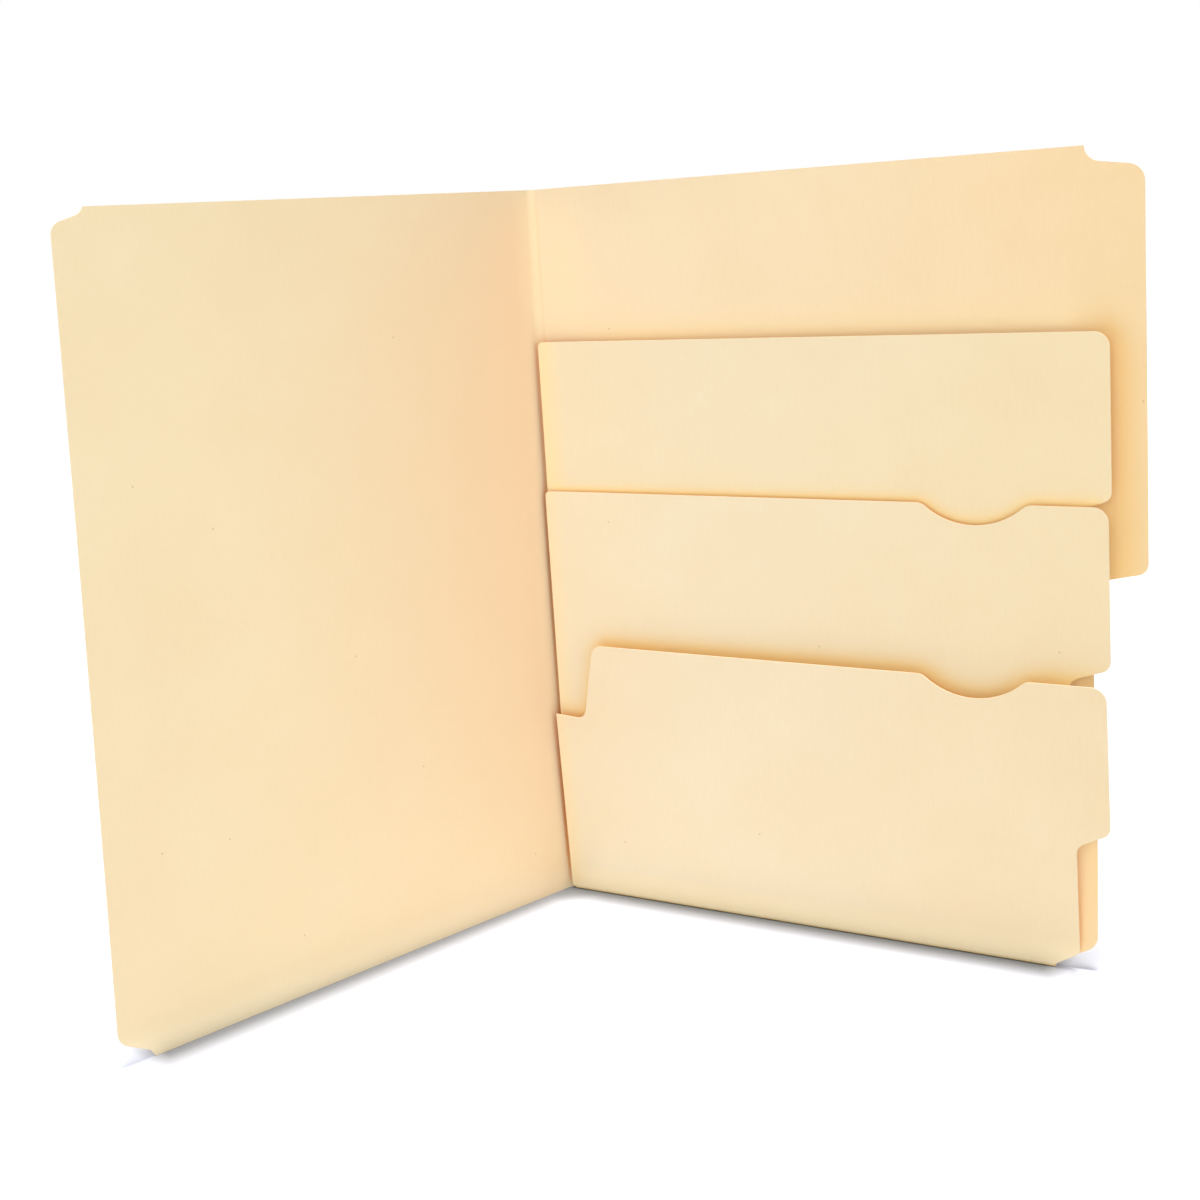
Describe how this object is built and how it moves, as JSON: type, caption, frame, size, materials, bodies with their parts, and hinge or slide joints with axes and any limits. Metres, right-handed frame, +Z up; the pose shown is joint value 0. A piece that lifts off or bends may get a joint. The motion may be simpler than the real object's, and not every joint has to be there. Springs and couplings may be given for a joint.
{
  "type": "manila folder",
  "caption": "Open manila folder with a half-cut index tab on its back cover and tiered, tabbed pockets with thumb notches, hinged at their bottom folds.",
  "frame": {"origin": "centre of the half-open folder's footprint, on the surface it stands on", "axes": "+Z up along the spine, +X along the back cover from the spine to its index tab, +Y out of the back cover's outside face"},
  "size_m": [0.2964, 0.2156, 0.2984],
  "materials": {
    "manila": "uncoated, matte",
    "adhesive": "dried, matte"
  },
  "bodies": {
    "back": {"back_cover": "manila", "spine_fold": "manila", "front_pocket_fold": "manila", "middle_pocket_flap": "manila", "middle_pocket_fold": "manila", "middle_pocket_glue": "adhesive", "rear_pocket_flap": "manila", "rear_pocket_fold": "manila", "rear_pocket_glue": "adhesive"},
    "front": {"front_cover": "manila"},
    "rear_pocket": {"rear_pocket_panel": "manila"},
    "middle_pocket": {"middle_pocket_panel": "manila"},
    "front_pocket": {"front_pocket_panel": "manila"}
  },
  "joints": [
    {"name": "cover_hinge", "type": "hinge", "parent": "back", "child": "front", "pos_m": [-0.09151, 0.10554, 0.14922], "axis": [0, 0, -1], "range_deg": [-102.3, 75.7], "deforming": ["spine_fold"]},
    {"name": "rear_pocket_hinge", "type": "hinge", "parent": "back", "child": "rear_pocket", "pos_m": [0.01493, 0.10666, 0.0013], "axis": [1, 0, 0], "range_deg": [-0.79, 0.59]},
    {"name": "middle_pocket_hinge", "type": "hinge", "parent": "back", "child": "middle_pocket", "pos_m": [0.01493, 0.10659, 0.0013], "axis": [1, 0, 0], "range_deg": [-1.13, 0.84]},
    {"name": "front_pocket_hinge", "type": "hinge", "parent": "back", "child": "front_pocket", "pos_m": [0.01493, 0.10652, 0.0013], "axis": [1, 0, 0], "range_deg": [-3.73, 2.76]}
  ],
  "couplings": [
    {"joint": "rear_pocket_hinge", "follows": "cover_hinge", "ratio": 0.00767},
    {"joint": "middle_pocket_hinge", "follows": "cover_hinge", "ratio": 0.011026},
    {"joint": "front_pocket_hinge", "follows": "cover_hinge", "ratio": 0.036433}
  ]
}
